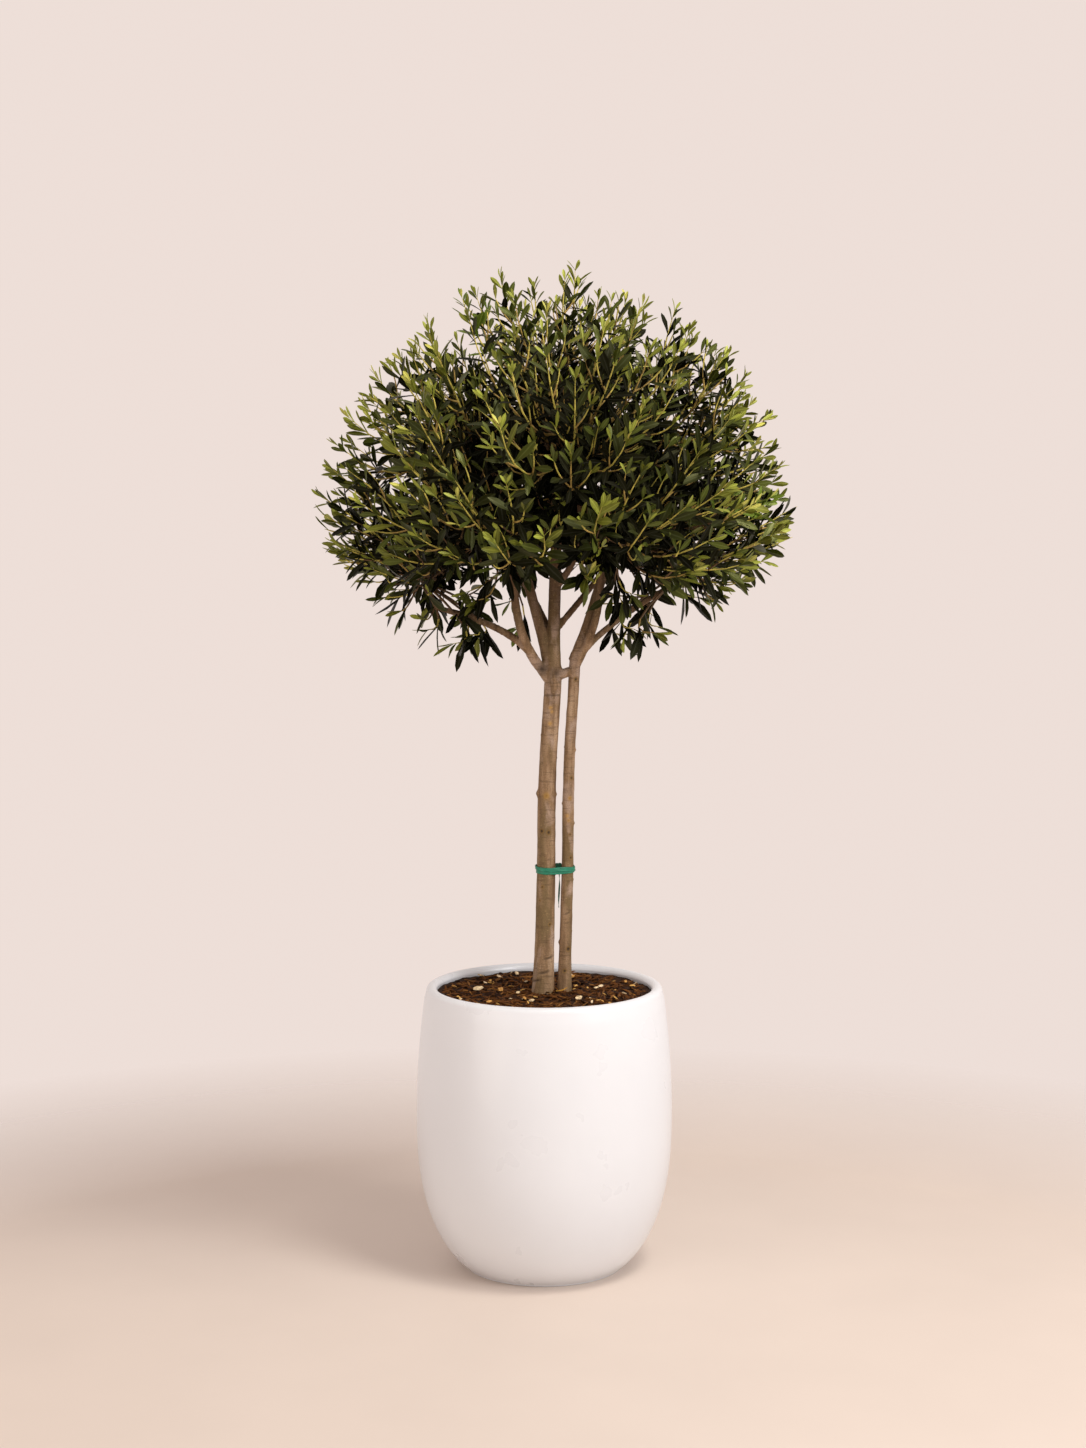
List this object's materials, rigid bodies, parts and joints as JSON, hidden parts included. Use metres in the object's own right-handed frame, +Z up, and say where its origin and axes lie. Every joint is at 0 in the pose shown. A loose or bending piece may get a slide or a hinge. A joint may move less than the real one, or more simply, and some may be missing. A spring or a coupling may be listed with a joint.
{
  "type": "potted standard topiary tree",
  "caption": "Potted standard tree: slim bare stems tied together fork into boughs under a dense, domed head of small pointed leaves, in a barrel-shaped pot filled with bark mix.",
  "frame": {"origin": "centre of the pot's flat underside", "axes": "+Z up along the stems, -Y to the front, from which the thicker stem is on the left, +X to the right"},
  "size_m": [0.8303, 0.87, 1.7714],
  "materials": {
    "glaze": "smooth white satin glaze",
    "mix": "loose shredded bark, matt",
    "bark": "smooth tan bark with scars, matt",
    "leaf": "leathery dark green leaf, half gloss",
    "tape": "green stretch tape, half matt"
  },
  "bodies": {
    "root": {"pot": "glaze", "potting_mix": "mix", "stem_main": "bark", "stem_second": "bark", "leader": "bark", "bough_mid_left": "bark", "bough_left": "bark", "bough_spur": "bark", "bough_right_up": "bark", "bough_left_low": "bark", "bough_right": "bark", "bough_right_low": "bark", "bough_back_right": "bark", "bough_back_left": "bark", "bough_front": "bark", "bough_back_high": "bark", "foliage_top": "leaf", "foliage_left_high": "leaf", "foliage_front_left": "leaf", "foliage_left_low": "leaf", "foliage_right_high": "leaf", "foliage_front_right": "leaf", "foliage_right_low": "leaf", "foliage_front_high": "leaf", "foliage_back_right": "leaf", "foliage_back_left": "leaf", "foliage_back_high": "leaf", "tie": "tape", "tie_knot": "tape"}
  },
  "joints": []
}
